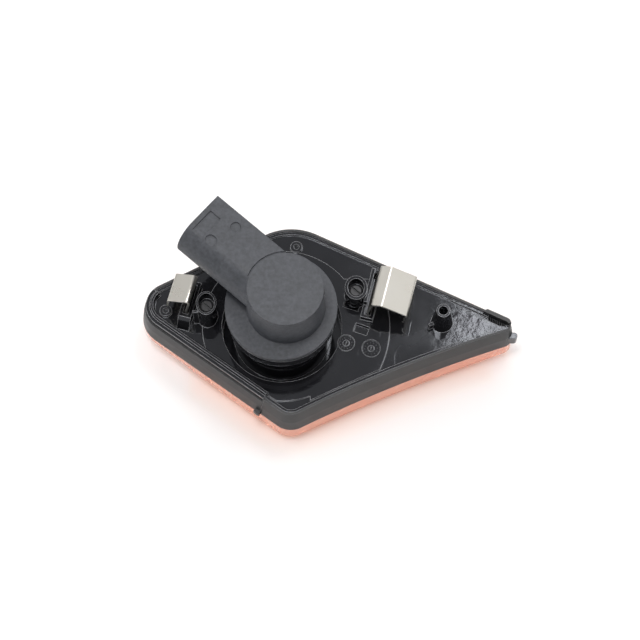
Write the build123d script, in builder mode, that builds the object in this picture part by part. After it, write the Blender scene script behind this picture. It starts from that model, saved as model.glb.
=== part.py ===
from build123d import *
from math import cos, radians, sin
import os

# Side repeater lamp: a black rear housing behind an amber lens, with a rubber
# gasket round the side, two spring clips and a twist-lock bulb holder.
# Millimetres. Z is the bulb holder's axis and points out of the back of the lamp.
# The origin is on that axis, level with the housing's back face. X runs to the tip.

# Driving dimensions: outline of the body seen from the back, before its corners are rounded
left_reach = 44.8
left_rise = 6.7
bottom_reach = 27.5
bottom_shift = 2.1
tip_reach = 67.9
tip_rise = -0.5
top_reach = 31.0
top_shift = 2.3
front_hollow = 1.6
left_radius = 6.9
bottom_radius = 5.0
tip_radius = 1.9
top_radius = 16.4

# Levels and walls of the housing
back_floor_thickness = 2.0
side_depth = 9.0
rim_height = 0.7
rim_width = 0.8
side_wall = 1.6
edge_round = 0.4

# Gasket round the side
gasket_thickness = 0.8
gasket_flare = 1.4
gasket_crease_depth = 4.0
gasket_crease_flare = 0.9
gasket_height = 1.0
gasket_fit = 0.1
gasket_seam_x = -7.4
gasket_seam_y = -23.5
gasket_end_x = 57.2
gasket_end_y = 3.9
gasket_joint = 0.1
seam_notch_width = 1.1
seam_notch_height = 1.8
gasket_lip_height = 1.4
gasket_lip_thickness = 1.1
gasket_lip_zone = 7.5
lip_groove_width = 1.5
lip_groove_depth = 1.5
lip_groove_end = 0.8

# Raised bead of the housing along the left front edge
bead_width = 2.5
bead_height = 2.3
bead_ledge_width = 1.0
bead_ledge_height = 1.5
bead_slope = 0.4
bead_depth = 0.6
bead_inset = 0.1
bead_zone_depth = 8.0
bead_end = 9.0
bead_clearance = 0.3

# Lens
lens_depth = 8.5
lens_wall = 2.0
lens_land_width = 1.2
lens_land_height = 1.5
lens_dome_radius = 450.0
lens_crown_x = 28.0
lens_crown_y = -5.0
lens_edge_round = 1.6
flute_pitch = 3.2
flute_height = 0.7
flute_width = 2.2
flute_side_angle = 86.0
flute_start_x = -2.0
flute_count = 19

# Well and tower that carry the bulb holder
well_radius = 16.9
well_depth = 8.0
well_wall = 1.5
well_floor = 1.4
tower_radius = 13.9
tower_bore_radius = 12.5
collar_radius = 15.3
collar_height = 13.1
collar_thickness = 3.6
ledge_thickness = 2.6
plug_clearance = 0.3
lug_clearance = 0.3

# Bulb holder
flange_radius = 15.6
flange_thickness = 1.8
flange_step = 0.5
seal_thickness = 0.8
seal_width = 2.2
seal_fit = 0.1
seal_gap = 0.3
plug_radius = 11.0
plug_depth = 14.6
lug_count = 3
lug_angle = 38.0
notch_side_angle = 2.0
lug_height = 1.9
lug_first_angle = 20.0
turn_angle = 42.0
cap_radius = 10.5
cap_draft = 0.45
cap_height = 13.5
cap_shift = 1.35

# Connector arm of the bulb holder; s runs along the arm, t across it
arm_heading = 138.5
arm_length = 32.1
arm_right = 8.1
arm_left = 8.8
arm_depth = 10.5
arm_round = 6.8
arm_under_round = 3.4
arm_groove_width = 0.4
arm_groove_depth = 0.35
socket_wall = 1.4
socket_depth = 15.0
window_near = 26.9
window_far = 30.6
window_left = 4.9
window_right = 3.5
mark_depth = 0.35
mark_radius = 1.4
round_mark_s = 22.2
round_mark_t = 4.5
long_mark_s = 24.6
long_mark_t = -2.8
long_mark_length = 3.4

# Bulb and its contacts
bulb_radius = 5.15
bulb_length = 26.0
bulb_top = 15.0
bulb_neck_radius = 3.9
bulb_base_width = 9.4
bulb_base_thickness = 2.9
bulb_base_length = 7.5
bulb_clearance = 0.25
bulb_shoulder_gap = 0.1
bulb_base_root = 1.0
bulb_well_radius = 6.3
contact_thickness = 0.8
contact_width = 2.8
contact_bottom = 8.6
contact_level = 23.85
blade_reach = 24.3

# Bosses and screws
left_boss_x = -20.95
left_boss_y = 2.8
left_boss_height = 11.0
left_boss_width = 5.7
left_boss_length = 7.0
left_boss_wall = 0.6
middle_boss_x = 20.9
middle_boss_y = 8.9
middle_boss_height = 7.0
middle_boss_width = 6.4
middle_boss_length = 7.2
middle_boss_wall = 0.9
head_sink = 2.4
screw_head_radius = 1.9
screw_head_height = 1.6
screw_shank_radius = 0.85
screw_hole_radius = 1.0
screw_point = 1.0
screw_tip_radius = 0.3
screw_end_gap = 0.6
screw_slot_width = 0.55
screw_slot_depth = 0.7
screw_slot_angle = 140.0
post_radius = 2.3
post_bore_radius = 0.9
right_boss_x = 45.2
right_boss_y = 1.1
right_boss_height = 9.5
right_boss_radius = 1.95
right_boss_bore_radius = 1.3
right_boss_bore_depth = 8.0
right_boss_foot_radius = 3.1
gusset_thickness = 0.9
gusset_reach = 4.2
gusset_height = 2.5
gusset_turn = 205.0
boss_rib_thickness = 0.8
boss_rib_reach = 1.0
boss_rib_height = 8.5
boss_rib_shift = 1.6

# Reflector plate inside
reflector_thickness = 0.9
reflector_inset = 0.4
reflector_hole_radius = 12.0
reflector_gap = 0.3

# Spring clips, folded from one strip each
clip_thickness = 0.6
clip_bend = 0.6
clip_crest_round = 0.8
clip_foot_gap = 0.3
right_clip_x = 26.4
right_clip_y = 8.4
right_clip_turn = -14.1
right_clip_width = 12.2
right_clip_reach = 10.65
right_clip_crest = 11.2
right_clip_facet = 3.0
right_clip_facet_drop = 1.0
right_clip_drop = 3.3
right_clip_leg = 5.4
right_clip_lean = -0.8
right_clip_tuck = 1.2
left_clip_x = -24.36
left_clip_y = 6.13
left_clip_turn = 164.5
left_clip_width = 8.4
left_clip_reach = 6.65
left_clip_crest = 12.6
left_clip_facet = 1.1
left_clip_facet_drop = 0.5
left_clip_drop = 2.4
left_clip_leg = 4.6
left_clip_lean = 1.6
left_clip_tuck = -0.3

# Clip pockets on the housing's back
pocket_wall = 1.0
pocket_depth = 3.6
right_pocket_height = 2.6
left_pocket_height = 4.0
pocket_end_gap = 0.3
pocket_ramp = 2.5
fence_height = 5.0
fence_front = -3.6
fence_back = 6.8

# Small forms of the back face
pad_height = 0.5
pad_radius = 22.5
pad_reach = 30.5
pad_start = 8.0
pad_top = 14.0
ring_pin_radius = 1.7
ring_pin_bore_radius = 0.75
ring_pin_height = 1.0
top_pin_x = 4.0
top_pin_y = 23.65
left_pin_x = -32.9
left_pin_y = 4.25
stamp_depth = 0.25
small_stamp_x = 18.1
small_stamp_y = -5.3
small_stamp_radius = 2.3
large_stamp_x = 25.1
large_stamp_y = -6.9
large_stamp_radius = 2.5
stamp_hub_radius = 0.9
recess_depth = 1.1
recess_turn = -20.0
boss_recess_x = 19.7
boss_recess_y = 5.9
boss_recess_width = 4.4
boss_recess_length = 2.2
latch_recess_x = 22.4
latch_recess_y = -1.2
latch_recess_width = 4.0
latch_recess_length = 2.6
nub_end_gap = 1.0
nub_length = 5.4
nub_drop = 0.9
nub_width = 1.9
nub_height = 4.0
nub_level = -6.4
nub_clearance = 0.15

# Levels that follow from the sizes above
lens_level = -side_depth
lens_bottom = -side_depth - lens_depth
flange_bottom = collar_height + seal_gap + seal_thickness
flange_top = flange_bottom + flange_thickness
cap_top = flange_top + cap_height
ledge_bottom = collar_height - ledge_thickness
plug_bottom = flange_bottom - plug_depth
lug_top = ledge_bottom - lug_clearance
bulb_seat = bulb_top - bulb_base_length + bulb_shoulder_gap
well_bottom = -well_depth
reflector_top = well_bottom - reflector_gap
inner_inset = gasket_thickness + side_wall
nub_centre = (tip_reach - nub_end_gap - nub_length / 2, tip_rise - nub_drop)
s_direction = (cos(radians(arm_heading)), sin(radians(arm_heading)), 0)
t_direction = (sin(radians(arm_heading)), -cos(radians(arm_heading)), 0)


def inset_corners(inset):
    """Corners of the body's outline, counter-clockwise from the left, moved inward."""
    corners = [
        Vector(-left_reach, left_rise),
        Vector(bottom_shift, -bottom_reach),
        Vector(tip_reach, tip_rise),
        Vector(top_shift, top_reach),
    ]
    moved = []
    for index, corner in enumerate(corners):
        arriving = (corner - corners[index - 1]).normalized()
        leaving = (corners[(index + 1) % 4] - corner).normalized()
        normal_in = Vector(-arriving.Y, arriving.X)
        normal_out = Vector(-leaving.Y, leaving.X)
        share = inset / (1 + normal_in.dot(normal_out))
        moved.append(corner + (normal_in + normal_out) * share)
    return moved


def body_outline(inset):
    """Face inside the body's outline moved inward, with its long front edge hollow."""
    left, bottom, tip, top = inset_corners(inset)
    chord = (tip - bottom).normalized()
    hollow = (bottom + tip) / 2 + Vector(-chord.Y, chord.X) * front_hollow
    with BuildSketch() as outline:
        with BuildLine():
            Line(left, bottom)
            ThreePointArc(bottom, hollow, tip)
            Line(tip, top)
            Line(top, left)
        make_face()
        radii = [left_radius, bottom_radius, tip_radius, top_radius]
        for corner, radius in zip([left, bottom, tip, top], radii):
            vertex = outline.vertices().sort_by_distance(corner)[0]
            fillet(vertex, max(radius - inset, edge_round))
    return outline.sketch


def edge_plane(start, end, level):
    """Horizontal plane at the start of an edge, with its X along the edge."""
    along = end - start
    return Plane(origin=(start.X, start.Y, level), x_dir=(along.X, along.Y, 0), z_dir=(0, 0, 1))


def sector(radius, angle):
    """Sector of a disc about its X axis."""
    half = radians(angle / 2)
    far = 2 * radius
    with BuildSketch() as wedge:
        Polygon((0, 0), (far * cos(half), -far * sin(half)), (far * cos(half), far * sin(half)), align=None)
        Circle(radius, mode=Mode.INTERSECT)
    return wedge.sketch


def turned_plane(x, y, turn, level=0.0):
    """Horizontal plane at a point, turned about Z."""
    heading = (cos(radians(turn)), sin(radians(turn)), 0)
    return Plane(origin=(x, y, level), x_dir=heading, z_dir=(0, 0, 1))


# Zone of the raised bead: a band beside the left front edge that ends short of the corner
outer_left, outer_bottom, outer_tip, outer_top = inset_corners(0)
left_edge_length = (outer_bottom - outer_left).length
with BuildSketch(edge_plane(outer_left, outer_bottom, 0)) as bead_zone:
    with Locations((-gasket_flare, -gasket_flare - bead_clearance)):
        Rectangle(
            left_edge_length - bead_end + gasket_flare,
            bead_zone_depth + gasket_flare + bead_clearance,
            align=(Align.MIN, Align.MIN),
        )

# Plane through the two joints of the gasket: it parts the front strip from the rear one
gasket_start = Vector(gasket_seam_x, gasket_seam_y)
gasket_end = Vector(gasket_end_x, gasket_end_y)
strip_run = (gasket_end - gasket_start).normalized()
strip_normal = Vector(-strip_run.Y, strip_run.X)


def strip_plane(shift):
    """Vertical plane through the gasket's joints, moved towards the rear strip."""
    origin = gasket_start + strip_normal * shift
    return Plane(origin=(origin.X, origin.Y, 0), z_dir=(strip_normal.X, strip_normal.Y, 0))


def arm_section_plane(s):
    """Plane across the connector arm at s, with X to the arm's left and Y up."""
    origin = Vector(cap_shift, 0, 0) + Vector(*s_direction) * s
    return Plane(origin=origin, x_dir=(-t_direction[0], -t_direction[1], 0), z_dir=s_direction)


holder_plane = Plane(origin=(0, 0, 0), x_dir=s_direction, z_dir=(0, 0, 1))
arm_plane = Plane(origin=(cap_shift, 0, 0), x_dir=s_direction, z_dir=(0, 0, 1))

# Rear housing
with BuildPart() as rear_housing:
    with BuildSketch(Plane.XY.offset(-side_depth)):
        add(body_outline(gasket_thickness))
    extrude(amount=side_depth + rim_height)
    with BuildSketch():
        add(body_outline(gasket_thickness + rim_width))
    extrude(amount=rim_height, mode=Mode.SUBTRACT)
    with BuildSketch(Plane.XY.offset(-side_depth)):
        add(body_outline(inner_inset))
    extrude(amount=side_depth - back_floor_thickness, mode=Mode.SUBTRACT)

    # Groove behind the gasket's lip
    with BuildSketch(Plane.XY.offset(-lip_groove_depth)):
        add(body_outline(gasket_thickness))
        add(body_outline(gasket_thickness + lip_groove_width), mode=Mode.SUBTRACT)
        with Locations((gasket_end_x - gasket_lip_zone + lip_groove_end, 0)):
            Rectangle(tip_reach, top_reach, align=(Align.MIN, Align.MIN), mode=Mode.INTERSECT)
    extrude(amount=lip_groove_depth + rim_height, mode=Mode.SUBTRACT)

    # Raised bead: a low ledge along the edge and a crest with sloping sides behind it
    with BuildSketch(Plane.XY.offset(-bead_depth)):
        add(body_outline(bead_inset))
        add(body_outline(bead_inset + bead_width), mode=Mode.SUBTRACT)
        add(bead_zone.sketch, mode=Mode.INTERSECT)
    extrude(amount=bead_depth + bead_ledge_height)
    with BuildPart(mode=Mode.ADD):
        with BuildSketch(Plane.XY.offset(bead_ledge_height)):
            add(body_outline(bead_inset + bead_ledge_width))
        with BuildSketch(Plane.XY.offset(bead_height)):
            add(body_outline(bead_inset + bead_ledge_width + bead_slope))
        loft(ruled=True)
        with BuildSketch(Plane.XY.offset(bead_ledge_height)):
            add(body_outline(bead_inset + bead_width))
        with BuildSketch(Plane.XY.offset(bead_height)):
            add(body_outline(bead_inset + bead_width - bead_slope))
        loft(ruled=True, mode=Mode.SUBTRACT)
        with BuildSketch():
            add(bead_zone.sketch)
        extrude(amount=bead_height, mode=Mode.INTERSECT)

    # Shallow pad round the well and towards the tip
    with BuildSketch():
        Circle(pad_reach)
        with Locations((pad_start, pad_top)):
            Rectangle(tip_reach, bottom_reach + pad_top, align=(Align.MIN, Align.MAX), mode=Mode.INTERSECT)
        Circle(pad_radius)
        add(body_outline(inner_inset - edge_round), mode=Mode.INTERSECT)
    extrude(amount=pad_height)

    # Well, tower and collar
    with BuildSketch(Plane.XY.offset(well_bottom)):
        Circle(well_radius + well_wall)
        add(body_outline(gasket_thickness + edge_round), mode=Mode.INTERSECT)
    extrude(amount=well_depth - back_floor_thickness)
    with BuildSketch(Plane.XY.offset(well_bottom + well_floor)):
        Circle(well_radius)
    extrude(amount=well_depth - well_floor + pad_height, mode=Mode.SUBTRACT)
    with BuildSketch(Plane.XY.offset(well_bottom)):
        Circle(tower_radius)
    extrude(amount=well_depth + collar_height)
    with BuildSketch(Plane.XY.offset(collar_height - collar_thickness)):
        Circle(collar_radius)
    extrude(amount=collar_thickness)
    with BuildSketch(Plane.XY.offset(well_bottom)):
        Circle(tower_bore_radius)
    extrude(amount=well_depth + ledge_bottom, mode=Mode.SUBTRACT)
    with BuildSketch(Plane.XY.offset(ledge_bottom)):
        Circle(plug_radius + plug_clearance)
    extrude(amount=ledge_thickness, mode=Mode.SUBTRACT)
    for index in range(lug_count):
        notch_angle = lug_first_angle + turn_angle + index * 360 / lug_count
        with BuildSketch(turned_plane(0, 0, notch_angle, ledge_bottom)):
            add(sector(tower_bore_radius, lug_angle + 2 * notch_side_angle))
        extrude(amount=ledge_thickness, mode=Mode.SUBTRACT)

    # Oval screw bosses, open round the screw heads
    left_oval = (left_boss_width, left_boss_length, left_boss_wall)
    middle_oval = (middle_boss_width, middle_boss_length, middle_boss_wall)
    for x, y, height, (width, length, wall) in (
        (left_boss_x, left_boss_y, left_boss_height, left_oval),
        (middle_boss_x, middle_boss_y, middle_boss_height, middle_oval),
    ):
        with BuildSketch():
            with Locations((x, y)):
                Ellipse(width / 2, length / 2)
        extrude(amount=height)
        with BuildSketch(Plane.XY.offset(height)):
            with Locations((x, y)):
                Ellipse(width / 2 - wall, length / 2 - wall)
        extrude(amount=-head_sink - screw_head_height, mode=Mode.SUBTRACT)
        with Locations((x, y, height)):
            Hole(screw_hole_radius, depth=height + back_floor_thickness)

    # Rib that stiffens the left boss beside its clip
    with BuildSketch():
        rib_start = left_boss_x - left_boss_width / 2 - boss_rib_reach
        rib_length = boss_rib_reach + 2 * left_boss_wall
        with Locations((rib_start, left_boss_y - boss_rib_shift)):
            Rectangle(rib_length, boss_rib_thickness, align=(Align.MIN, Align.CENTER))
    extrude(amount=boss_rib_height)

    # Tapered blind boss towards the tip, with one gusset
    with BuildSketch():
        with Locations((right_boss_x, right_boss_y)):
            Circle(right_boss_foot_radius)
    with BuildSketch(Plane.XY.offset(right_boss_height)):
        with Locations((right_boss_x, right_boss_y)):
            Circle(right_boss_radius)
    loft()
    with BuildSketch(turned_plane(right_boss_x, right_boss_y, gusset_turn)):
        with Locations((right_boss_radius, 0)):
            Rectangle(gusset_reach - right_boss_radius, gusset_thickness, align=(Align.MIN, Align.CENTER))
    extrude(amount=gusset_height)
    with Locations((right_boss_x, right_boss_y, right_boss_height)):
        Hole(right_boss_bore_radius, depth=right_boss_bore_depth)

    # Ring pins
    with BuildSketch():
        with Locations((top_pin_x, top_pin_y), (left_pin_x, left_pin_y)):
            Circle(ring_pin_radius)
            Circle(ring_pin_bore_radius, mode=Mode.SUBTRACT)
    extrude(amount=ring_pin_height)

    # Pockets that hold the inner legs of the clips
    for x, y, turn, lean, width, height in (
        (right_clip_x, right_clip_y, right_clip_turn, right_clip_lean, right_clip_width, right_pocket_height),
        (left_clip_x, left_clip_y, left_clip_turn, left_clip_lean, left_clip_width, left_pocket_height),
    ):
        inner_width = width + 2 * pocket_end_gap
        with BuildSketch(turned_plane(x, y, turn)):
            with Locations((lean, 0)):
                Rectangle(pocket_depth, inner_width + 2 * pocket_wall)
                Rectangle(pocket_depth - 2 * pocket_wall, inner_width, mode=Mode.SUBTRACT)
        extrude(amount=height)

    # Taller wall of the right pocket, beside the middle boss
    with BuildSketch(turned_plane(right_clip_x, right_clip_y, right_clip_turn)):
        with Locations((right_clip_lean - pocket_depth / 2, fence_front)):
            Rectangle(pocket_wall, fence_back - fence_front, align=(Align.MIN, Align.MIN))
    extrude(amount=fence_height)

    # Ramp in front of the left pocket
    ramp_plane = turned_plane(left_clip_x, left_clip_y, left_clip_turn)
    ramp_top = left_clip_width / 2 + pocket_end_gap + pocket_wall
    ramp_origin = ramp_plane.from_local_coords((left_clip_lean, 0, 0))
    with BuildSketch(Plane(origin=ramp_origin, x_dir=ramp_plane.y_dir, z_dir=ramp_plane.x_dir)):
        Polygon(
            (ramp_top - pocket_wall, 0),
            (ramp_top + pocket_ramp, 0),
            (ramp_top, left_pocket_height),
            (ramp_top - pocket_wall, left_pocket_height),
            align=None,
        )
    extrude(amount=pocket_depth / 2, both=True)

    # Recesses and stamps in the back face
    for x, y, width, length in (
        (boss_recess_x, boss_recess_y, boss_recess_width, boss_recess_length),
        (latch_recess_x, latch_recess_y, latch_recess_width, latch_recess_length),
    ):
        with BuildSketch(turned_plane(x, y, recess_turn, pad_height)):
            Rectangle(width, length)
        extrude(amount=-recess_depth - pad_height, mode=Mode.SUBTRACT)
    for x, y, radius in (
        (small_stamp_x, small_stamp_y, small_stamp_radius),
        (large_stamp_x, large_stamp_y, large_stamp_radius),
    ):
        with BuildSketch(Plane.XY.offset(pad_height)):
            with Locations((x, y)):
                Circle(radius)
                Circle(stamp_hub_radius, mode=Mode.SUBTRACT)
        extrude(amount=-stamp_depth, mode=Mode.SUBTRACT)

    # Locating nub through the gasket at the tip
    with BuildSketch(Plane.XY.offset(nub_level - nub_height / 2)):
        with Locations(nub_centre):
            SlotOverall(nub_length, nub_width)
    extrude(amount=nub_height)
rear_housing.part.label = "rear_housing"


# Lens: a domed shell with upright flutes on its inner face
lens_outline_inset = -gasket_flare
dome_turn = (90, 0, 0)
dome_centre = (lens_crown_x, lens_crown_y, lens_bottom + lens_dome_radius)
with BuildPart() as lens:
    with BuildSketch(Plane.XY.offset(lens_bottom)):
        add(body_outline(lens_outline_inset))
    extrude(amount=lens_depth)
    with Locations(dome_centre):
        Sphere(lens_dome_radius, rotation=dome_turn, mode=Mode.INTERSECT)
    rim_edges = lens.faces().filter_by(GeomType.SPHERE)[0].outer_wire().edges()
    fillet(rim_edges, lens_edge_round)
    with BuildPart(mode=Mode.SUBTRACT):
        with BuildSketch(Plane.XY.offset(lens_bottom)):
            add(body_outline(lens_outline_inset + lens_wall))
        extrude(amount=lens_depth)
        with BuildSketch(Plane.XY.offset(lens_level - lens_land_height)):
            add(body_outline(lens_outline_inset + lens_wall))
            add(body_outline(lens_outline_inset + lens_wall + lens_land_width), mode=Mode.SUBTRACT)
        extrude(amount=lens_land_height, mode=Mode.SUBTRACT)
        with Locations(dome_centre):
            Sphere(lens_dome_radius - lens_wall, rotation=dome_turn, mode=Mode.INTERSECT)
        with BuildSketch(Plane.XY.offset(reflector_top - reflector_thickness - reflector_gap)):
            add(body_outline(inner_inset))
        extrude(amount=side_depth)
    with BuildPart(mode=Mode.ADD):
        for index in range(flute_count):
            with BuildSketch(Plane.XZ.offset(-top_reach)):
                with Locations((flute_start_x + index * flute_pitch, lens_bottom)):
                    Trapezoid(flute_width, lens_depth, flute_side_angle, align=(Align.CENTER, Align.MIN))
            extrude(amount=top_reach + bottom_reach)
        with BuildSketch(Plane.XY.offset(lens_bottom)):
            add(body_outline(lens_outline_inset + lens_wall / 2))
        extrude(amount=lens_depth, mode=Mode.INTERSECT)
        with Locations(dome_centre):
            Sphere(lens_dome_radius - lens_wall / 2, rotation=dome_turn, mode=Mode.INTERSECT)
            Sphere(lens_dome_radius - lens_wall - flute_height, rotation=dome_turn, mode=Mode.SUBTRACT)
lens.part.label = "lens"


def gasket_ring():
    """Solid of the whole gasket: a flared band with a crease, open inside for the housing."""
    with BuildPart() as ring:
        with BuildSketch(Plane.XY.offset(lens_level)):
            add(body_outline(-gasket_flare))
        with BuildSketch(Plane.XY.offset(-gasket_crease_depth)):
            add(body_outline(-gasket_crease_flare))
        loft(ruled=True)
        with BuildSketch(Plane.XY.offset(-gasket_crease_depth)):
            add(body_outline(-gasket_crease_flare))
        with BuildSketch(Plane.XY.offset(gasket_height)):
            add(body_outline(0))
        loft(ruled=True)
        with BuildSketch(Plane.XY.offset(lens_level)):
            add(body_outline(gasket_thickness - gasket_fit))
        extrude(amount=side_depth + gasket_height, mode=Mode.SUBTRACT)
        # Room for the housing's bead and its nub
        with BuildSketch(Plane.XY.offset(-bead_depth - bead_clearance)):
            add(bead_zone.sketch)
        extrude(amount=bead_depth + bead_clearance + gasket_height, mode=Mode.SUBTRACT)
        with BuildSketch(Plane.XY.offset(nub_level - nub_height / 2 - nub_clearance)):
            with Locations(nub_centre):
                SlotOverall(nub_length + 2 * nub_clearance, nub_width + 2 * nub_clearance)
        extrude(amount=nub_height + 2 * nub_clearance, mode=Mode.SUBTRACT)
    return ring.part


# Gasket: one strip from the seam along the front edge and round the tip, one round the rest
with BuildPart() as gasket_front:
    add(gasket_ring())
    with BuildSketch(Plane.XY.offset(gasket_height)):
        add(body_outline(0))
        add(body_outline(gasket_lip_thickness), mode=Mode.SUBTRACT)
        with Locations((gasket_end_x - gasket_lip_zone, 0)):
            Rectangle(tip_reach, top_reach, align=(Align.MIN, Align.MIN), mode=Mode.INTERSECT)
    extrude(amount=gasket_lip_height)
    split(bisect_by=strip_plane(-gasket_joint / 2), keep=Keep.BOTTOM)
gasket_front.part.label = "gasket_front"

with BuildPart() as gasket_rear:
    add(gasket_ring())
    split(bisect_by=strip_plane(gasket_joint / 2), keep=Keep.TOP)
    # Notch in the lower edge where the strip starts
    notch_along = (outer_bottom - outer_left).normalized()
    notch_origin = (gasket_seam_x, gasket_seam_y, lens_level)
    with BuildSketch(Plane(origin=notch_origin, x_dir=notch_along, z_dir=(0, 0, 1))):
        Rectangle(seam_notch_width, 2 * (gasket_flare + gasket_thickness))
    extrude(amount=seam_notch_height, mode=Mode.SUBTRACT)
gasket_rear.part.label = "gasket_rear"

# Reflector: a bright plate behind the lens with a hole for the bulb and two screw posts
with BuildPart() as reflector:
    with BuildSketch(Plane.XY.offset(reflector_top - reflector_thickness)):
        add(body_outline(inner_inset + reflector_inset))
        Circle(reflector_hole_radius, mode=Mode.SUBTRACT)
    extrude(amount=reflector_thickness)
    with BuildSketch(Plane.XY.offset(reflector_top)):
        add(body_outline(inner_inset + reflector_inset))
        add(body_outline(inner_inset + reflector_inset + reflector_thickness), mode=Mode.SUBTRACT)
        Circle(well_radius + well_wall + reflector_gap, mode=Mode.SUBTRACT)
    extrude(amount=well_depth - back_floor_thickness)
    for x, y, height in (
        (left_boss_x, left_boss_y, left_boss_height),
        (middle_boss_x, middle_boss_y, middle_boss_height),
    ):
        with BuildSketch(Plane.XY.offset(reflector_top)):
            with Locations((x, y)):
                Circle(post_radius)
        extrude(amount=well_depth + reflector_gap - back_floor_thickness)
        with Locations((x, y, -back_floor_thickness)):
            Hole(post_bore_radius, depth=well_depth + reflector_gap - back_floor_thickness)
reflector.part.label = "reflector"


def make_contact(side):
    """Folded contact strip on one side of the bulb's base, ending in a flat blade."""
    inner = side * (bulb_base_thickness / 2 + bulb_clearance)
    outer = inner + side * contact_thickness
    far = inner + side * contact_width
    centre_line = contact_level + contact_thickness / 2
    with BuildPart() as contact:
        with BuildSketch(holder_plane.offset(contact_bottom)):
            with Locations((0, -(inner + outer) / 2)):
                Rectangle(contact_width, contact_thickness)
        extrude(amount=centre_line - contact_bottom)
        with BuildSketch(holder_plane.offset(contact_level)):
            with Locations((-contact_width / 2, -(inner + far) / 2)):
                Rectangle(blade_reach + contact_width / 2, contact_width, align=(Align.MIN, Align.CENTER))
        extrude(amount=contact_thickness)
    return contact.part


contact_left = make_contact(-1)
contact_right = make_contact(1)

# Bulb: a wedge-base glass bulb, its base pinched flat
with BuildPart() as bulb:
    bulb_tip = bulb_top - bulb_length
    neck = bulb_top - bulb_base_length
    with BuildSketch(Plane.XZ):
        with BuildLine():
            Line((0, neck), (0, bulb_tip))
            RadiusArc((0, bulb_tip), (bulb_radius, bulb_tip + bulb_radius), -bulb_radius)
            Line((bulb_radius, bulb_tip + bulb_radius), (bulb_radius, neck - bulb_radius))
            Line((bulb_radius, neck - bulb_radius), (bulb_neck_radius, neck))
            Line((bulb_neck_radius, neck), (0, neck))
        make_face()
    revolve(axis=Axis.Z)
    with BuildSketch(Plane(origin=(0, 0, neck - bulb_base_root), x_dir=s_direction, z_dir=(0, 0, 1))):
        RectangleRounded(bulb_base_width, bulb_base_thickness, edge_round)
    extrude(amount=bulb_base_length + bulb_base_root)
bulb.part.label = "bulb"

# Bulb holder: flange, cap and plug with its bayonet lugs, and the connector arm
with BuildPart() as bulb_holder:
    with BuildSketch(Plane.XY.offset(flange_bottom)):
        Circle(flange_radius - flange_step)
    extrude(amount=flange_step)
    with BuildSketch(Plane.XY.offset(flange_bottom + flange_step)):
        Circle(flange_radius)
    extrude(amount=flange_thickness - flange_step)
    with BuildSketch(Plane.XY.offset(flange_bottom - plug_depth)):
        Circle(plug_radius)
    extrude(amount=plug_depth)

    # Cap with a slight draft
    with BuildSketch(arm_plane.offset(flange_top)):
        Circle(cap_radius + cap_draft)
    with BuildSketch(arm_plane.offset(cap_top)):
        Circle(cap_radius)
    loft()

    # Connector arm, rounded along its left side
    with BuildSketch(arm_section_plane(0)) as arm:
        with BuildLine():
            Polyline(
                (-arm_right, cap_top),
                (arm_left, cap_top),
                (arm_left, cap_top - arm_depth),
                (-arm_right, cap_top - arm_depth),
                close=True,
            )
        make_face()
        fillet(arm.vertices().group_by(Axis.X)[-1].sort_by(Axis.Y)[-1], arm_round)
        fillet(arm.vertices().group_by(Axis.X)[-1].sort_by(Axis.Y)[0], arm_under_round)
    extrude(amount=arm_length)

    # Groove that parts the cap's top from the arm, window and moulding marks
    with BuildSketch(arm_plane.offset(cap_top - arm_groove_depth)):
        with Locations((0, (arm_left - arm_right) / 2)):
            Rectangle(arm_length, arm_left + arm_right, align=(Align.MIN, Align.CENTER))
        Circle(cap_radius + arm_groove_width, mode=Mode.INTERSECT)
        Circle(cap_radius, mode=Mode.SUBTRACT)
    extrude(amount=arm_groove_depth, mode=Mode.SUBTRACT)
    with BuildSketch(arm_plane.offset(cap_top - mark_depth)):
        with Locations(((window_near + window_far) / 2, (window_left - window_right) / 2)):
            Rectangle(window_far - window_near, window_left + window_right)
        with Locations((round_mark_s, -round_mark_t)):
            Circle(mark_radius)
        with Locations((long_mark_s, -long_mark_t)):
            SlotOverall(long_mark_length, 2 * mark_radius)
    extrude(amount=mark_depth, mode=Mode.SUBTRACT)

    # Connector socket in the end of the arm
    socket_floor = arm_length - socket_depth
    with BuildSketch(arm_section_plane(socket_floor)) as socket:
        with Locations(((arm_left - arm_right) / 2, cap_top - arm_depth / 2)):
            Rectangle(arm_left + arm_right - 2 * socket_wall, arm_depth - 2 * socket_wall)
        fillet(socket.vertices().group_by(Axis.X)[-1].sort_by(Axis.Y)[-1], arm_round - socket_wall)
        fillet(socket.vertices().group_by(Axis.X)[-1].sort_by(Axis.Y)[0], arm_under_round - socket_wall)
    extrude(amount=socket_depth, mode=Mode.SUBTRACT)

    # Lugs that lock under the tower's ledge
    for index in range(lug_count):
        with BuildSketch(turned_plane(0, 0, lug_first_angle + index * 360 / lug_count, lug_top - lug_height)):
            add(sector(tower_bore_radius - lug_clearance, lug_angle))
        extrude(amount=lug_height)

    # Seat of the bulb: a round well, then a slot for its flat base
    with BuildSketch(Plane.XY.offset(plug_bottom)):
        Circle(bulb_well_radius)
    extrude(amount=bulb_seat - plug_bottom, mode=Mode.SUBTRACT)
    with BuildSketch(Plane(origin=(0, 0, bulb_seat), x_dir=s_direction, z_dir=(0, 0, 1))):
        Rectangle(bulb_base_width + 2 * bulb_clearance, bulb_base_thickness + 2 * bulb_clearance)
    extrude(amount=bulb_top + bulb_clearance - bulb_seat, mode=Mode.SUBTRACT)
    add(contact_left, mode=Mode.SUBTRACT)
    add(contact_right, mode=Mode.SUBTRACT)
bulb_holder.part.label = "bulb_holder"

# Seal ring under the holder's flange
with BuildPart() as holder_seal:
    with BuildSketch(Plane.XY.offset(flange_bottom - seal_thickness)):
        Circle(plug_radius + seal_fit + seal_width)
        Circle(plug_radius + seal_fit, mode=Mode.SUBTRACT)
    extrude(amount=seal_thickness)
holder_seal.part.label = "holder_seal"


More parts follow.
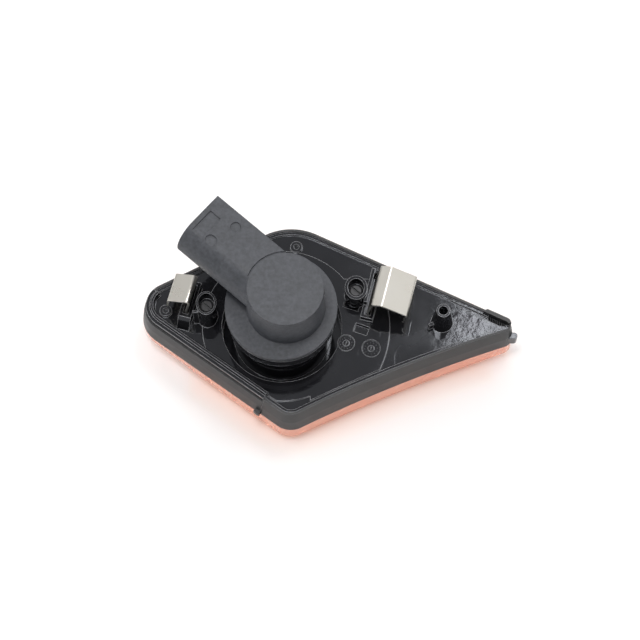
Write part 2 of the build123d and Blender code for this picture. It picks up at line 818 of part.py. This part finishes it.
def make_clip(x, y, turn, width, reach, crest, facet, facet_drop, drop, leg, lean, tuck, pocket_height):
    """Spring clip bent from one strip: inner leg, facet, sloping crown and free outer leg."""
    half = clip_thickness / 2
    floor = pad_height + clip_foot_gap
    heading = (cos(radians(turn)), sin(radians(turn)), 0)
    side = (sin(radians(turn)), -cos(radians(turn)), 0)
    with BuildPart() as clip:
        with BuildSketch(Plane(origin=(x, y, 0), x_dir=heading, z_dir=side)):
            with BuildLine():
                FilletPolyline(
                    (lean, floor),
                    (lean, pocket_height + clip_bend),
                    (half, crest - facet_drop - half),
                    (facet, crest - half),
                    (reach - half, crest - drop - half),
                    (reach - tuck, crest - drop - leg),
                    radius=[clip_bend, clip_bend, clip_crest_round, clip_bend],
                )
            trace(line_width=clip_thickness)
        extrude(amount=width / 2, both=True)
    return clip.part


right_clip = make_clip(
    right_clip_x, right_clip_y, right_clip_turn, right_clip_width, right_clip_reach, right_clip_crest,
    right_clip_facet, right_clip_facet_drop, right_clip_drop, right_clip_leg, right_clip_lean,
    right_clip_tuck, right_pocket_height,
)
left_clip = make_clip(
    left_clip_x, left_clip_y, left_clip_turn, left_clip_width, left_clip_reach, left_clip_crest,
    left_clip_facet, left_clip_facet_drop, left_clip_drop, left_clip_leg, left_clip_lean,
    left_clip_tuck, left_pocket_height,
)


def make_screw(x, y, boss_height):
    """Slotted screw sunk in its boss, with its shank down into the reflector's post."""
    head_top = boss_height - head_sink
    head_bottom = head_top - screw_head_height
    shank_end = reflector_top + screw_end_gap
    with BuildPart() as screw:
        with BuildSketch(Plane.XY.offset(head_bottom)):
            with Locations((x, y)):
                Circle(screw_head_radius)
        extrude(amount=screw_head_height)
        chamfer(screw.edges().group_by(Axis.Z)[-1], edge_round)
        with BuildSketch(Plane.XY.offset(shank_end + screw_point)):
            with Locations((x, y)):
                Circle(screw_shank_radius)
        extrude(amount=head_bottom - shank_end - screw_point)
        with Locations((x, y, shank_end + screw_point / 2)):
            Cone(screw_tip_radius, screw_shank_radius, screw_point)
        with BuildSketch(turned_plane(x, y, screw_slot_angle, head_top - screw_slot_depth)):
            Rectangle(3 * screw_head_radius, screw_slot_width)
        extrude(amount=screw_slot_depth, mode=Mode.SUBTRACT)
    return screw.part


screw_left = make_screw(left_boss_x, left_boss_y, left_boss_height)
screw_middle = make_screw(middle_boss_x, middle_boss_y, middle_boss_height)

os.makedirs("parts", exist_ok=True)
pieces = {
    "rear_housing": rear_housing.part,
    "lens": lens.part,
    "reflector": reflector.part,
    "gasket_front": gasket_front.part,
    "gasket_rear": gasket_rear.part,
    "bulb_holder": bulb_holder.part,
    "holder_seal": holder_seal.part,
    "bulb": bulb.part,
    "contact_left": contact_left,
    "contact_right": contact_right,
    "clip_left": left_clip,
    "clip_right": right_clip,
    "screw_left": screw_left,
    "screw_middle": screw_middle,
}
for name, piece in pieces.items():
    piece.label = name
    export_step(piece, f"parts/{name}.step")
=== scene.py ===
"""Looks of the side repeater lamp: finishes, small surface detail, light and camera."""
import math
import bmesh
import bpy
from mathutils import Matrix, Vector


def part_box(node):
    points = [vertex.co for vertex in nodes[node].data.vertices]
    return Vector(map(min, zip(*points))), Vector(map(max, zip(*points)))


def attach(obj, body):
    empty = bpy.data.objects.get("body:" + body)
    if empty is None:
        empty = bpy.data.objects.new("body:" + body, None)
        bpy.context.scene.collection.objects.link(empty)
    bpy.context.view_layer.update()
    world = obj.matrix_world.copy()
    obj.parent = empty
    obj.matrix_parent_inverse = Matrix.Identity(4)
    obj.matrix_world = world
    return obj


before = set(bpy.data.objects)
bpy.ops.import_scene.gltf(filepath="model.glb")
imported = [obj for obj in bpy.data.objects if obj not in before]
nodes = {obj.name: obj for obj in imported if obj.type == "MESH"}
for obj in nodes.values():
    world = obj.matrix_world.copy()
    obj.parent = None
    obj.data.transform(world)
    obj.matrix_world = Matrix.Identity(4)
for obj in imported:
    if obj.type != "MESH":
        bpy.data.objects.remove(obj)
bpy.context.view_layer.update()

MM = 0.001

# The view of the photograph, square, from 70 degrees above the lamp's back plane
CAMERA_ELEVATION = math.radians(70)
CAMERA_DISTANCE = 640 * MM
FIELD_OF_VIEW = math.radians(16.1)
CAMERA_TARGET = Vector((10.75, 1.75, 0)) * MM
FLOOR_SIZE = 3.0

# Mould stamps in the housing's back: name, place and radius in mm, turn in radians
STAMPS = (
    ("stamp_marks_small", 18.1, -5.3, 2.3, 0.2),
    ("stamp_marks_large", 25.1, -6.9, 2.5, 0.6),
)
STAMP_RIM_STEPS = 48
STAMP_DOTS = 12
# Section of a stamp's rim: way out from its radius, and height over the housing
STAMP_RIM_SECTION = ((-0.1, -0.02), (0.0, 0.06), (0.1, 0.1), (0.2, 0.06), (0.3, -0.02), (0.1, -0.08))
STAMP_POINTER = ((0.62, 0), (0.1, 0.3), (0.1, 0.1), (-0.55, 0.1), (-0.55, -0.1), (0.1, -0.1), (0.1, -0.3))

# Groove behind the gasket's lip, in mm: its floor, and the stretch that is closed
GROOVE_FLOOR = -1.5
FILLING_START = 50.4
FILLING_PITCH = 0.5
FILLING_ROWS = 17
GROOVE_START = 50.8
LEDGE_HEIGHT = 0.62

# Ribs in the open part of the groove, in mm
RIB_START = 58.9
RIB_PITCH = 0.62
RIB_WIDTH = 0.2
RIB_TOP = 0.15
RIBS = 7

# Seam of the gasket's two strips, in mm, and the way out of the gasket there
SEAM = Vector((-7.4, -23.5, 0))
SEAM_OUT = Vector((-0.61, -0.79, 0))
SEAM_LEVEL = 2.6

# Floor: how near the lens it takes its painted warm glow and shade, and what it adds for the camera
PAINTED_GLOW_REACH = 12 * MM
FLOOR_LIFT = 0.13

# Softboxes: name, place in metres, side in metres, power in watts
SOFTBOXES = (
    ("softbox_top", (-0.1, 0.0, 1.0), 0.26, 3.4),
    ("softbox_left", (-0.95, 0.75, 0.9), 0.9, 0.6),
    ("softbox_back", (-0.3, 1.15, 0.7), 0.6, 2.6),
    ("softbox_right", (0.95, 0.25, 0.95), 0.85, 0.8),
    ("softbox_tip", (0.25, 0.38, 1.0), 0.22, 1.6),
    ("softbox_low", (-1.1, -0.15, 0.35), 0.6, 3.0),
)

# Surroundings: strength on the dark and the bright side, and the way to the bright side
SKY_DARK = 0.1
SKY_BRIGHT = 0.62
BRIGHT_SIDE = Vector((0.25, 0.35, 0.9)).normalized()

UP = Vector((0, 0, 1))
RAY_START = 0.1
BEVEL_SAMPLES = 6


def new_material(name, color, roughness, **sockets):
    """Material with a Principled shader, and its node tree."""
    material = bpy.data.materials.new(name)
    material.use_nodes = True
    tree = material.node_tree
    shader = tree.nodes["Principled BSDF"]
    shader.inputs["Base Color"].default_value = (*color, 1)
    shader.inputs["Roughness"].default_value = roughness
    for socket, value in sockets.items():
        shader.inputs[socket.replace("_", " ")].default_value = value
    return material, tree, shader


def noise(tree, scale, detail):
    """Noise over the lamp's own coordinates; scale is in features per metre."""
    coordinates = tree.nodes.new("ShaderNodeTexCoord")
    texture = tree.nodes.new("ShaderNodeTexNoise")
    texture.inputs["Scale"].default_value = scale
    texture.inputs["Detail"].default_value = detail
    tree.links.new(coordinates.outputs["Object"], texture.inputs["Vector"])
    return texture.outputs["Fac"]


def contour_lines(tree, scale, width):
    """Thin curved lines, as flow marks and fine scratches draw them."""
    level = tree.nodes.new("ShaderNodeMath")
    level.operation = "SUBTRACT"
    level.inputs[1].default_value = 0.5
    tree.links.new(noise(tree, scale, 1), level.inputs[0])
    distance = tree.nodes.new("ShaderNodeMath")
    distance.operation = "ABSOLUTE"
    tree.links.new(level.outputs["Value"], distance.inputs[0])
    line = tree.nodes.new("ShaderNodeMapRange")
    line.inputs["From Min"].default_value = 0.0
    line.inputs["From Max"].default_value = width
    line.inputs["To Min"].default_value = 1.0
    line.inputs["To Max"].default_value = 0.0
    tree.links.new(distance.outputs["Value"], line.inputs["Value"])
    return line.outputs["Result"]


def along_axis(tree, axis, start, end):
    """A value that rises from 0 to 1 between two places along an axis, in mm."""
    coordinates = tree.nodes.new("ShaderNodeTexCoord")
    parts = tree.nodes.new("ShaderNodeSeparateXYZ")
    ramp = tree.nodes.new("ShaderNodeMapRange")
    ramp.inputs["From Min"].default_value = start * MM
    ramp.inputs["From Max"].default_value = end * MM
    tree.links.new(coordinates.outputs["Object"], parts.inputs["Vector"])
    tree.links.new(parts.outputs[axis], ramp.inputs["Value"])
    return ramp.outputs["Result"]


def softened(tree, radius):
    """Normal that rounds edges by a radius in mm."""
    bevel = tree.nodes.new("ShaderNodeBevel")
    bevel.samples = BEVEL_SAMPLES
    bevel.inputs["Radius"].default_value = radius * MM
    return bevel.outputs["Normal"]


def edge_mask(tree, radius):
    """1 on edges within a radius in mm, where pale painted highlights go, and 0 on faces."""
    surface = tree.nodes.new("ShaderNodeNewGeometry")
    facing = tree.nodes.new("ShaderNodeVectorMath")
    facing.operation = "DOT_PRODUCT"
    mask = tree.nodes.new("ShaderNodeMapRange")
    mask.inputs["From Min"].default_value = 0.99
    mask.inputs["From Max"].default_value = 0.88
    tree.links.new(softened(tree, radius), facing.inputs[0])
    tree.links.new(surface.outputs["Normal"], facing.inputs[1])
    tree.links.new(facing.outputs["Value"], mask.inputs["Value"])
    return mask.outputs["Result"]


def combined(tree, operation, first, second):
    """Two values put together by a Math operation."""
    node = tree.nodes.new("ShaderNodeMath")
    node.operation = operation
    tree.links.new(first, node.inputs[0])
    tree.links.new(second, node.inputs[1])
    return node.outputs["Value"]


def painted_highlight_blend(tree, color, amount, pale):
    """A colour that turns to a pale painted highlight by an amount from 0 to 1."""
    blend = tree.nodes.new("ShaderNodeMix")
    blend.data_type = "RGBA"
    factor, base, other = blend.inputs[0], blend.inputs[6], blend.inputs[7]
    other.default_value = (*pale, 1)
    tree.links.new(amount, factor)
    tree.links.new(color, base)
    return blend.outputs[2]


def speckled(tree, color, shade):
    """A colour multiplied by another."""
    blend = tree.nodes.new("ShaderNodeMix")
    blend.data_type = "RGBA"
    blend.blend_type = "MULTIPLY"
    blend.inputs[0].default_value = 1.0
    tree.links.new(color, blend.inputs[6])
    tree.links.new(shade, blend.inputs[7])
    return blend.outputs[2]


def spread(tree, value, low, high):
    """The value from 0 to 1 spread between two numbers."""
    mapped = tree.nodes.new("ShaderNodeMapRange")
    mapped.inputs["From Min"].default_value = 0.3
    mapped.inputs["From Max"].default_value = 0.7
    mapped.inputs["To Min"].default_value = low
    mapped.inputs["To Max"].default_value = high
    tree.links.new(value, mapped.inputs["Value"])
    return mapped.outputs["Result"]


def tinted(tree, value, dark, light):
    """A colour between two tints, by a value."""
    ramp = tree.nodes.new("ShaderNodeValToRGB")
    ramp.color_ramp.elements[0].position = 0.3
    ramp.color_ramp.elements[0].color = (*dark, 1)
    ramp.color_ramp.elements[1].position = 0.7
    ramp.color_ramp.elements[1].color = (*light, 1)
    tree.links.new(value, ramp.inputs["Fac"])
    return ramp.outputs["Color"]


def bumped(tree, shader, layers, edge=0.0):
    """Bump from several (value, strength, depth in mm) layers, over softened edges."""
    normal = softened(tree, edge) if edge else None
    for value, strength, depth in layers:
        bump = tree.nodes.new("ShaderNodeBump")
        bump.inputs["Strength"].default_value = strength
        bump.inputs["Distance"].default_value = depth * MM
        tree.links.new(value, bump.inputs["Height"])
        if normal:
            tree.links.new(normal, bump.inputs["Normal"])
        normal = bump.outputs["Normal"]
    tree.links.new(normal, shader.inputs["Normal"])


def gloss_black():
    """Glossy moulded plastic with sink marks, haze, flow lines, painted highlights on its edges and a mottled
    tip.
    """
    material, tree, shader = new_material(
        "gloss_black", (0.010, 0.010, 0.012), 0.12, Specular_Tint=(0.9, 0.93, 1.0, 1),
    )
    haze = noise(tree, 90, 4)
    tree.links.new(spread(tree, haze, 0.05, 0.11), shader.inputs["Roughness"])
    mottle = combined(tree, "MULTIPLY", noise(tree, 330, 9), along_axis(tree, "X", 38, 60))
    bumped(tree, shader, [
        (noise(tree, 55, 2), 0.2, 0.1),
        (noise(tree, 900, 2), 0.05, 0.015),
        (contour_lines(tree, 75, 0.006), 0.12, 0.03),
        (mottle, 0.5, 0.14),
    ], edge=0.3)
    black = tinted(tree, haze, (0.008, 0.008, 0.0095), (0.014, 0.014, 0.016))
    # Painted highlight: edges turn pale in patches, standing in for light caught along rounded edges
    painted_edge_highlight = combined(tree, "MULTIPLY", edge_mask(tree, 0.3), noise(tree, 140, 3))
    tree.links.new(painted_highlight_blend(tree, black, painted_edge_highlight, (0.85, 0.85, 0.88)), shader.inputs["Base Color"])
    return material


def matt_grey():
    """Spark-eroded matt plastic of the bulb holder."""
    material, tree, shader = new_material("matt_grey", (0.085, 0.086, 0.094), 0.5)
    cloud = noise(tree, 160, 6)
    speckle = noise(tree, 1000, 7)
    grey = tinted(tree, cloud, (0.048, 0.0515, 0.0605), (0.068, 0.0715, 0.083))
    shade = tinted(tree, speckle, (0.74, 0.74, 0.74), (1.22, 1.22, 1.22))
    tree.links.new(speckled(tree, grey, shade), shader.inputs["Base Color"])
    tree.links.new(spread(tree, cloud, 0.44, 0.56), shader.inputs["Roughness"])
    bumped(tree, shader, [(noise(tree, 1900, 4), 0.5, 0.07), (noise(tree, 120, 2), 0.1, 0.1)], edge=0.25)
    return material


def rubber():
    """Black rubber with a soft sheen, a faint bloom, mould grain and painted highlights on its edges."""
    material, tree, shader = new_material("rubber", (0.02, 0.02, 0.021), 0.4)
    bloom = noise(tree, 220, 5)
    black = tinted(tree, bloom, (0.016, 0.016, 0.017), (0.028, 0.028, 0.029))
    # Painted highlight: edges turn pale where the bloom is strong, standing in for light along the edges
    painted_edge_highlight = combined(tree, "MULTIPLY", edge_mask(tree, 0.35), bloom)
    tree.links.new(painted_highlight_blend(tree, black, painted_edge_highlight, (0.22, 0.22, 0.23)), shader.inputs["Base Color"])
    tree.links.new(spread(tree, bloom, 0.34, 0.46), shader.inputs["Roughness"])
    bumped(tree, shader, [(noise(tree, 1500, 3), 0.12, 0.03)], edge=0.25)
    return material


def amber():
    """Half clear amber acrylic that tints what passes through it, with a weak painted glow, though the lens
    is no lamp.
    """
    # The emission is a painted glow that stands in for light passing through the lens
    material, tree, shader = new_material(
        "amber", (1.0, 0.56, 0.42), 0.06, IOR=1.49, Transmission_Weight=0.55,
        Emission_Color=(1.0, 0.58, 0.42, 1), Emission_Strength=0.09,
    )
    ripple = noise(tree, 240, 2)
    tree.links.new(tinted(tree, ripple, (0.98, 0.51, 0.38), (1.0, 0.6, 0.46)), shader.inputs["Base Color"])
    flutes = tree.nodes.new("ShaderNodeTexWave")
    flutes.inputs["Scale"].default_value = 190
    place = tree.nodes.new("ShaderNodeTexCoord")
    tree.links.new(place.outputs["Object"], flutes.inputs["Vector"])
    bumped(tree, shader, [(ripple, 0.1, 0.05), (flutes.outputs["Fac"], 0.3, 0.12)])
    # Light that reaches the floor through the lens keeps its colour
    output = tree.nodes["Material Output"]
    clear = tree.nodes.new("ShaderNodeBsdfTransparent")
    clear.inputs["Color"].default_value = (1.0, 0.74, 0.6, 1)
    path = tree.nodes.new("ShaderNodeLightPath")
    mix = tree.nodes.new("ShaderNodeMixShader")
    tree.links.new(path.outputs["Is Shadow Ray"], mix.inputs["Fac"])
    tree.links.new(shader.outputs["BSDF"], mix.inputs[1])
    tree.links.new(clear.outputs["BSDF"], mix.inputs[2])
    tree.links.new(mix.outputs["Shader"], output.inputs["Surface"])
    return material


def spring_steel():
    """Satin stainless strip with a warm tone and soft rolling marks."""
    material, tree, shader = new_material("spring_steel", (0.72, 0.69, 0.63), 0.3, Metallic=1.0)
    marks = noise(tree, 110, 4)
    tree.links.new(spread(tree, marks, 0.25, 0.31), shader.inputs["Roughness"])
    tree.links.new(tinted(tree, marks, (0.70, 0.67, 0.605), (0.75, 0.725, 0.67)), shader.inputs["Base Color"])
    bumped(tree, shader, [(noise(tree, 60, 2), 0.12, 0.1)], edge=0.2)
    return material


def dark_steel():
    """Oxidised screw steel."""
    material, tree, shader = new_material("dark_steel", (0.05, 0.05, 0.053), 0.4, Metallic=0.3)
    tree.links.new(spread(tree, noise(tree, 800, 3), 0.25, 0.5), shader.inputs["Roughness"])
    bumped(tree, shader, [(noise(tree, 1800, 2), 0.1, 0.03)], edge=0.15)
    return material


def tinned_brass():
    """Bright stamped contact strip."""
    material, tree, shader = new_material("tinned_brass", (0.8, 0.66, 0.4), 0.28, Metallic=1.0)
    tree.links.new(spread(tree, noise(tree, 900, 3), 0.2, 0.4), shader.inputs["Roughness"])
    bumped(tree, shader, [(noise(tree, 1600, 2), 0.08, 0.02)], edge=0.1)
    return material


def bright_coat():
    """Metallised plastic of the reflector."""
    material, tree, shader = new_material("bright_coat", (0.86, 0.86, 0.88), 0.08, Metallic=1.0)
    tree.links.new(spread(tree, noise(tree, 70, 2), 0.05, 0.14), shader.inputs["Roughness"])
    bumped(tree, shader, [(noise(tree, 60, 2), 0.15, 0.1)], edge=0.2)
    return material


def bulb_glass():
    """Clear glass, slightly wavy."""
    material, tree, shader = new_material(
        "bulb_glass", (0.97, 0.97, 0.97), 0.02, IOR=1.5, Transmission_Weight=1.0,
    )
    bumped(tree, shader, [(noise(tree, 150, 2), 0.08, 0.05)])
    return material


def dress(material, *names):
    """Gives CAD nodes their finish."""
    for name in names:
        node = nodes[name]
        node.data.materials.clear()
        node.data.materials.append(material)


dress(gloss_black(), "rear_housing")
dress(matt_grey(), "bulb_holder")
dress(rubber(), "gasket_front", "gasket_rear", "holder_seal")
dress(amber(), "lens")
dress(spring_steel(), "clip_left", "clip_right")
dress(dark_steel(), "screw_left", "screw_middle")
dress(tinned_brass(), "contact_left", "contact_right")
dress(bright_coat(), "reflector")
dress(bulb_glass(), "bulb")


def surface_height(name, x, y):
    """Height of a node's upper surface, in metres, at a place given in mm."""
    hit, place, _, _ = nodes[name].ray_cast(Vector((x * MM, y * MM, RAY_START)), -UP)
    if not hit:
        raise ValueError("nothing of %s at %.1f, %.1f" % (name, x, y))
    return place.z


def link_piece(name, shape, like):
    """A closed shape, faces outward, made into a piece of the lamp's body, finished like a node."""
    bmesh.ops.recalc_face_normals(shape, faces=shape.faces)
    mesh = bpy.data.meshes.new(name)
    shape.to_mesh(mesh)
    shape.free()
    mesh.materials.append(nodes[like].data.materials[0])
    piece = bpy.data.objects.new(name, mesh)
    bpy.context.scene.collection.objects.link(piece)
    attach(piece, "lamp_body")


def join_rings(shape, here, after):
    """Faces between two closed rings of points."""
    count = len(here)
    for i in range(count):
        j = (i + 1) % count
        shape.faces.new((here[i], here[j], after[j], after[i]))


def around(x, y, reach, angle, z):
    """Point at a reach in mm and an angle about a place in mm, at a height in metres."""
    return Vector((x * MM + reach * MM * math.cos(angle), y * MM + reach * MM * math.sin(angle), z))


def add_stamp_marks(name, x, y, radius, turn):
    """Raised rim, ring of dots and pointer of a mould stamp."""
    shape = bmesh.new()
    level = surface_height("rear_housing", x + radius * 0.72, y)
    rim_level = surface_height("rear_housing", x + radius * 1.15, y)
    hub_level = surface_height("rear_housing", x, y)
    rings = []
    for step in range(STAMP_RIM_STEPS):
        angle = 2 * math.pi * step / STAMP_RIM_STEPS
        rings.append([
            shape.verts.new(around(x, y, radius + reach, angle, rim_level + rise * MM))
            for reach, rise in STAMP_RIM_SECTION
        ])
    for step in range(STAMP_RIM_STEPS):
        join_rings(shape, rings[step], rings[(step + 1) % STAMP_RIM_STEPS])
    for dot in range(STAMP_DOTS):
        angle = turn + 2 * math.pi * dot / STAMP_DOTS
        middle = around(x, y, radius * 0.7, angle, level - 0.05 * MM)
        dot_radius = (0.17 + 0.05 * (dot % 3)) * MM
        bmesh.ops.create_uvsphere(
            shape, u_segments=10, v_segments=6, radius=dot_radius, matrix=Matrix.Translation(middle),
        )
    turned = Matrix.Translation((x * MM, y * MM, hub_level)) @ Matrix.Rotation(turn + 0.9, 4, "Z")
    lower = [shape.verts.new(turned @ Vector((a * MM, b * MM, -0.02 * MM))) for a, b in STAMP_POINTER]
    upper = [shape.verts.new(turned @ Vector((a * MM, b * MM, 0.12 * MM))) for a, b in STAMP_POINTER]
    shape.faces.new(upper)
    shape.faces.new(list(reversed(lower)))
    join_rings(shape, lower, upper)
    for face in shape.faces:
        face.smooth = len(face.verts) < 5
    link_piece(name, shape, like="rear_housing")


def add_box(shape, corner_low, corner_high, turn=0.0, pivot=(0, 0)):
    """A box between two corners in mm, turned about an upright line, added to a mesh."""
    (x0, y0, z0), (x1, y1, z1) = corner_low, corner_high
    place = Matrix.Translation((pivot[0] * MM, pivot[1] * MM, 0)) @ Matrix.Rotation(turn, 4, "Z")
    ground = ((x0, y0), (x1, y0), (x1, y1), (x0, y1))
    low = [shape.verts.new(place @ Vector((x * MM, y * MM, z0 * MM))) for x, y in ground]
    high = [shape.verts.new(place @ Vector((x * MM, y * MM, z1 * MM))) for x, y in ground]
    shape.faces.new(list(reversed(low)))
    shape.faces.new(high)
    join_rings(shape, low, high)


def groove_sides(x):
    """The inner and the outer Y, in mm, of the groove behind the gasket's lip at an X."""
    places = []
    for step in range(400):
        y = 12 - step * 0.04
        start = Vector((x * MM, y * MM, RAY_START))
        hit, place, _, _ = nodes["rear_housing"].ray_cast(start, -UP)
        if hit and abs(place.z - GROOVE_FLOOR * MM) < 0.1 * MM:
            places.append(y)
        elif places:
            break
    return places[-1], places[0]


def add_groove_filling():
    """Closed start of the groove behind the gasket's lip."""
    shape = bmesh.new()
    rows = []
    bottom = GROOVE_FLOOR - 0.1
    for step in range(FILLING_ROWS):
        x = FILLING_START + step * FILLING_PITCH
        inner, outer = groove_sides(max(x, GROOVE_START))
        middle = inner + (outer - inner) * 0.45
        section = (
            (inner - 0.05, bottom),
            (inner - 0.05, 0.01),
            (middle, 0.01),
            (middle + 0.15, LEDGE_HEIGHT),
            (outer + 0.04, LEDGE_HEIGHT),
            (outer + 0.04, bottom),
        )
        rows.append([shape.verts.new((x * MM, y * MM, z * MM)) for y, z in section])
    for row, after in zip(rows, rows[1:]):
        join_rings(shape, row, after)
    shape.faces.new(list(reversed(rows[0])))
    shape.faces.new(rows[-1])
    link_piece("groove_filling", shape, like="rear_housing")


def add_lip_ribs():
    """Comb of small ribs in the groove behind the gasket's lip."""
    shape = bmesh.new()
    for step in range(RIBS):
        x = RIB_START + step * RIB_PITCH
        inner, outer = groove_sides(x)
        add_box(shape, (x, inner - 0.1, GROOVE_FLOOR - 0.1), (x + RIB_WIDTH, outer - 0.35, RIB_TOP))
    link_piece("lip_ribs", shape, like="gasket_rear")


def add_seam_flap():
    """Small rubber flap at the notch where the gasket's strip starts; its dark rubber also stands in for the
    shade inside the notch, where the lens would show.
    """
    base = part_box("gasket_rear")[0].z
    start = SEAM * MM + SEAM_OUT * 12 * MM + UP * (base + SEAM_LEVEL * MM)
    hit, place, _, _ = nodes["gasket_rear"].ray_cast(start, -SEAM_OUT)
    if not hit:
        raise ValueError("no gasket at the seam")
    turn = math.atan2(-SEAM_OUT.x, SEAM_OUT.y) + math.pi
    shape = bmesh.new()
    height = base / MM
    pivot = (place.x / MM, place.y / MM)
    add_box(shape, (-0.9, -1.2, height + 0.05), (0.9, 0.25, height + 1.9), turn, pivot)
    add_box(shape, (-0.2, -0.2, height + 0.3), (0.35, 0.75, height + 1.6), turn, pivot)
    link_piece("seam_flap", shape, like="gasket_rear")


for stamp in STAMPS:
    add_stamp_marks(*stamp)
add_groove_filling()
add_lip_ribs()
add_seam_flap()


def floor_material():
    """Pale floor, white away from the lamp, with a painted warm glow and shade beside the lens, as of amber
    light through it.
    """
    material, tree, shader = new_material("floor", (0.93, 0.93, 0.93), 0.6)
    # Painted glow and shade: by occlusion near the lamp's front sides the floor's colour turns warm and
    # darker, as if amber light through the lens fell there
    near = tree.nodes.new("ShaderNodeAmbientOcclusion")
    near.samples = 12
    near.inputs["Distance"].default_value = PAINTED_GLOW_REACH
    value = near.outputs["AO"]
    for axis, start, end in (("Y", -8, 5), ("X", 46, 64), ("X", -14, -30)):
        value = combined(tree, "MAXIMUM", value, along_axis(tree, axis, start, end))
    ramp = tree.nodes.new("ShaderNodeValToRGB")
    ramp.color_ramp.elements[0].position = 0.35
    ramp.color_ramp.elements[0].color = (0.93, 0.73, 0.64, 1)
    ramp.color_ramp.elements[1].position = 0.95
    ramp.color_ramp.elements[1].color = (0.93, 0.93, 0.93, 1)
    tree.links.new(value, ramp.inputs["Fac"])
    tree.links.new(ramp.outputs["Color"], shader.inputs["Base Color"])
    # The camera sees the floor a little brighter, so that it is white beyond the shadow; this lift carries
    # the painted warm glow too
    path = tree.nodes.new("ShaderNodeLightPath")
    lift = tree.nodes.new("ShaderNodeMath")
    lift.operation = "MULTIPLY"
    lift.inputs[1].default_value = FLOOR_LIFT
    tree.links.new(path.outputs["Is Camera Ray"], lift.inputs[0])
    tree.links.new(ramp.outputs["Color"], shader.inputs["Emission Color"])
    tree.links.new(lift.outputs["Value"], shader.inputs["Emission Strength"])
    return material


def add_floor():
    """Level floor under the lens."""
    half = FLOOR_SIZE / 2
    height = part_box("lens")[0].z
    corners = [(-half, -half, height), (half, -half, height), (half, half, height), (-half, half, height)]
    mesh = bpy.data.meshes.new("floor")
    mesh.from_pydata(corners, [], [(0, 1, 2, 3)])
    mesh.materials.append(floor_material())
    floor = bpy.data.objects.new("floor", mesh)
    bpy.context.scene.collection.objects.link(floor)


def add_softbox(name, place, size, power):
    """Square area lamp that faces the lamp's middle."""
    light = bpy.data.lights.new(name, "AREA")
    light.shape = "SQUARE"
    light.size = size
    light.energy = power
    lamp = bpy.data.objects.new(name, light)
    lamp.location = place
    lamp.rotation_euler = (-Vector(place)).to_track_quat("-Z", "Y").to_euler()
    bpy.context.scene.collection.objects.link(lamp)


def add_world():
    """Pale surroundings, brighter overhead and behind than in front."""
    world = bpy.data.worlds.new("surroundings")
    world.use_nodes = True
    tree = world.node_tree
    background = tree.nodes["Background"]
    background.inputs["Color"].default_value = (1, 1, 1, 1)
    direction = tree.nodes.new("ShaderNodeTexCoord")
    facing = tree.nodes.new("ShaderNodeVectorMath")
    facing.operation = "DOT_PRODUCT"
    facing.inputs[1].default_value = BRIGHT_SIDE
    fade = tree.nodes.new("ShaderNodeMapRange")
    fade.inputs["From Min"].default_value = -0.3
    fade.inputs["From Max"].default_value = 0.9
    fade.inputs["To Min"].default_value = SKY_DARK
    fade.inputs["To Max"].default_value = SKY_BRIGHT
    tree.links.new(direction.outputs["Generated"], facing.inputs[0])
    tree.links.new(facing.outputs["Value"], fade.inputs["Value"])
    tree.links.new(fade.outputs["Result"], background.inputs["Strength"])
    white = tree.nodes.new("ShaderNodeBackground")
    white.inputs["Color"].default_value = (1, 1, 1, 1)
    path = tree.nodes.new("ShaderNodeLightPath")
    mix = tree.nodes.new("ShaderNodeMixShader")
    tree.links.new(path.outputs["Is Camera Ray"], mix.inputs["Fac"])
    tree.links.new(background.outputs["Background"], mix.inputs[1])
    tree.links.new(white.outputs["Background"], mix.inputs[2])
    tree.links.new(mix.outputs["Shader"], tree.nodes["World Output"].inputs["Surface"])
    bpy.context.scene.world = world


def add_camera():
    """Camera at the photograph's viewing angle."""
    data = bpy.data.cameras.new("camera")
    data.sensor_fit = "HORIZONTAL"
    data.angle = FIELD_OF_VIEW
    data.clip_start = 0.01
    camera = bpy.data.objects.new("camera", data)
    away = Vector((0, -math.cos(CAMERA_ELEVATION), math.sin(CAMERA_ELEVATION)))
    camera.location = CAMERA_TARGET + away * CAMERA_DISTANCE
    camera.rotation_euler = (-away).to_track_quat("-Z", "Y").to_euler()
    bpy.context.scene.collection.objects.link(camera)
    bpy.context.scene.camera = camera


add_floor()
add_world()
for softbox in SOFTBOXES:
    add_softbox(*softbox)
add_camera()
bpy.context.scene.view_settings.view_transform = "Standard"
